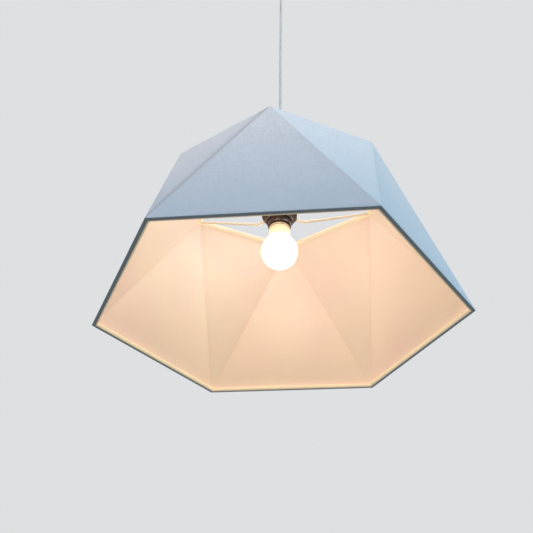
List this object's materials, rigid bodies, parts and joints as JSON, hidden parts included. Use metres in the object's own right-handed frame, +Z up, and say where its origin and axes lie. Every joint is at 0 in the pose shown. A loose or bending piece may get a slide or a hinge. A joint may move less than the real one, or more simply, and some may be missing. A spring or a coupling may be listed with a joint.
{
  "type": "pendant light",
  "caption": "Ceiling pendant with a six-sided faceted fabric shade on wire arms, a screw lampholder with its bulb, a round cord and a ceiling cup.",
  "frame": {"origin": "centre of the face that meets the ceiling, on the cord's axis", "axes": "+Z up out of the ceiling face; the lamp hangs down -Z; +X along the bracket's slots and through a lower corner of the shade"},
  "size_m": [0.6, 0.5196, 0.94],
  "materials": {
    "white_cord": "matt round PVC sheath",
    "shade_cloth": "plain weave, pale blue-grey",
    "liner": "white satin laminate",
    "white_wire": "white powder coat",
    "brown_bakelite": "dark brown moulded, glossy",
    "white_plastic": "white moulded",
    "natural_plastic": "natural moulded",
    "bulb_diffuser": "opal, lit",
    "bulb_housing": "white moulded",
    "zinc_steel": "zinc plated",
    "brass": "drawn",
    "nickel": "nickel plated, rolled thread",
    "black_insulator": "fused black",
    "steatite": "unglazed",
    "brown_core": "brown core insulation",
    "blue_core": "blue core insulation",
    "board": "green board",
    "board_metal": "sheet",
    "led": "phosphor",
    "component_black": "moulded"
  },
  "bodies": {
    "ceiling_fitting": {"ceiling_bracket": "zinc_steel", "canopy_cup": "white_plastic", "canopy_screws": "zinc_steel", "cord_gland": "white_plastic", "gland_nut": "white_plastic", "gland_screw": "white_plastic", "terminal_housing": "natural_plastic", "terminal_tubes": "brass", "terminal_screws": "zinc_steel", "block_screw": "zinc_steel", "cord_stub": "white_cord", "ceiling_live_core": "brown_core", "ceiling_neutral_core": "blue_core"},
    "cord_bend": {"cord_flex": "white_cord"},
    "cord_run": {"cord_drop": "white_cord"},
    "lampholder": {"holder_skirt": "brown_bakelite", "holder_cap": "brown_bakelite", "cord_bush": "brown_bakelite", "bush_screw": "zinc_steel", "socket_insert": "steatite", "screw_shell": "brass", "centre_contact": "brass", "live_terminal": "brass", "neutral_terminal": "brass", "holder_terminal_screws": "zinc_steel", "holder_live_core": "brown_core", "holder_neutral_core": "blue_core"},
    "bulb_contact": {"bulb_tip": "nickel"},
    "bulb": {"bulb_globe": "bulb_diffuser", "bulb_collar": "bulb_housing", "bulb_screw_cap": "nickel", "bulb_insulator": "black_insulator", "led_board": "board_metal", "led_chips": "led", "heat_spreader": "board_metal", "driver_board": "board", "driver_parts": "component_black"},
    "shade": {"shade_fabric": "shade_cloth", "lower_panel_1": "liner", "lower_panel_2": "liner", "lower_panel_3": "liner", "lower_panel_4": "liner", "lower_panel_5": "liner", "lower_panel_6": "liner", "upper_panel_1": "liner", "upper_panel_2": "liner", "upper_panel_3": "liner", "upper_panel_4": "liner", "upper_panel_5": "liner", "upper_panel_6": "liner", "bottom_ring": "white_wire", "top_ring": "white_wire", "bottom_hem": "shade_cloth", "top_hem": "shade_cloth", "spider_arm_1": "white_wire", "spider_arm_2": "white_wire", "spider_arm_3": "white_wire", "fitter_ring": "white_wire"},
    "ring_nut": {"shade_ring": "brown_bakelite"}
  },
  "joints": [
    {"name": "swing_front_back", "type": "hinge", "parent": "ceiling_fitting", "child": "cord_bend", "pos_m": [0, 0, -0.0575], "axis": [1, 0, 0], "range_deg": [-25, 25]},
    {"name": "swing_side_to_side", "type": "hinge", "parent": "cord_bend", "child": "cord_run", "pos_m": [0, 0, -0.0695], "axis": [0, 1, 0], "range_deg": [-25, 25]},
    {"name": "lamp_twist", "type": "hinge", "parent": "cord_run", "child": "lampholder", "pos_m": [0, 0, -0.6985], "axis": [0, 0, 1], "range_deg": [-180, 180], "stiffness_Nm_per_rad": 0.0006},
    {"name": "shade_drop", "type": "slide", "parent": "lampholder", "child": "shade", "axis": [0, 0, -1], "range_m": [0, 0.01187]},
    {"name": "shade_ring_turn", "type": "hinge", "parent": "shade", "child": "ring_nut", "pos_m": [0, 0, -0.7425], "axis": [0, 0, -1], "range_deg": [0, 1710]},
    {"name": "bulb_travel", "type": "slide", "parent": "lampholder", "child": "bulb_contact", "axis": [0, 0, -1], "range_m": [0, 0.0163]},
    {"name": "bulb_turn", "type": "hinge", "parent": "bulb_contact", "child": "bulb", "pos_m": [0, 0, -0.751], "axis": [0, 0, -1], "range_deg": [0, 1620]}
  ],
  "couplings": [
    {"joint": "shade_ring_turn", "follows": "shade_drop", "rad_per_m": 2513.3},
    {"joint": "bulb_turn", "follows": "bulb_travel", "rad_per_m": 1730.9}
  ]
}
